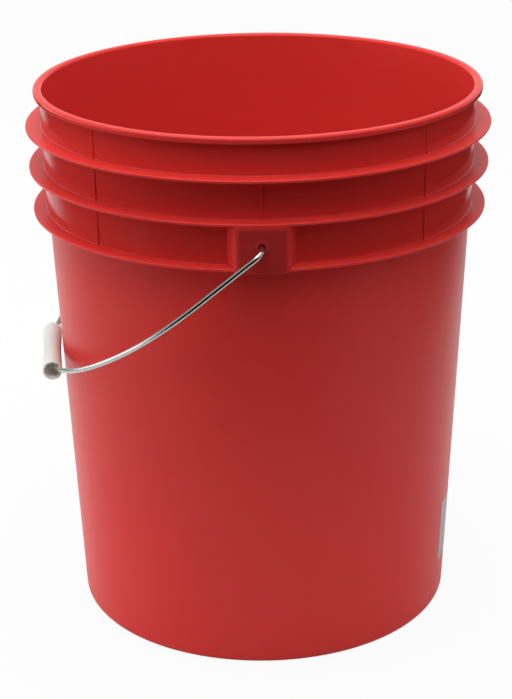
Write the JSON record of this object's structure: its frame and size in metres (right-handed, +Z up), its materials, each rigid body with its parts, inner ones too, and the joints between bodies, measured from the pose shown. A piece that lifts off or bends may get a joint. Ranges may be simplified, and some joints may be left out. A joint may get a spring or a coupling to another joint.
{
  "type": "plastic pail",
  "caption": "Tapered round open-top pail with a lid-snap rim, flanges round its collar, moulded ears and a bent wire bail carrying a loose tubular grip",
  "frame": {"origin": "middle of the foot ring, on the floor", "axes": "+Z up the pail's axis; the bail pivots lie along Y; -X is the side where the bail hangs"},
  "size_m": [0.315, 0.3446, 0.3747],
  "materials": {
    "pail": "semi-gloss moulded polyethylene",
    "label": "plain film label",
    "wire": "bright zinc-plated wire",
    "grip": "smooth white plastic"
  },
  "bodies": {
    "pail": {"pail_body": "pail", "label": "label"},
    "bail": {"bail_wire": "wire"},
    "grip": {"grip": "grip"}
  },
  "joints": [
    {"name": "bail_swing", "type": "hinge", "parent": "pail", "child": "bail", "pos_m": [0, 0, 0.3075], "axis": [0, 1, 0], "range_deg": [0, 257.9]},
    {"name": "grip_spin", "type": "hinge", "parent": "bail", "child": "grip", "pos_m": [-0.14608, -0.02094, 0.18942], "axis": [-0.0894, 0.9934, -0.0723], "continuous": true}
  ]
}
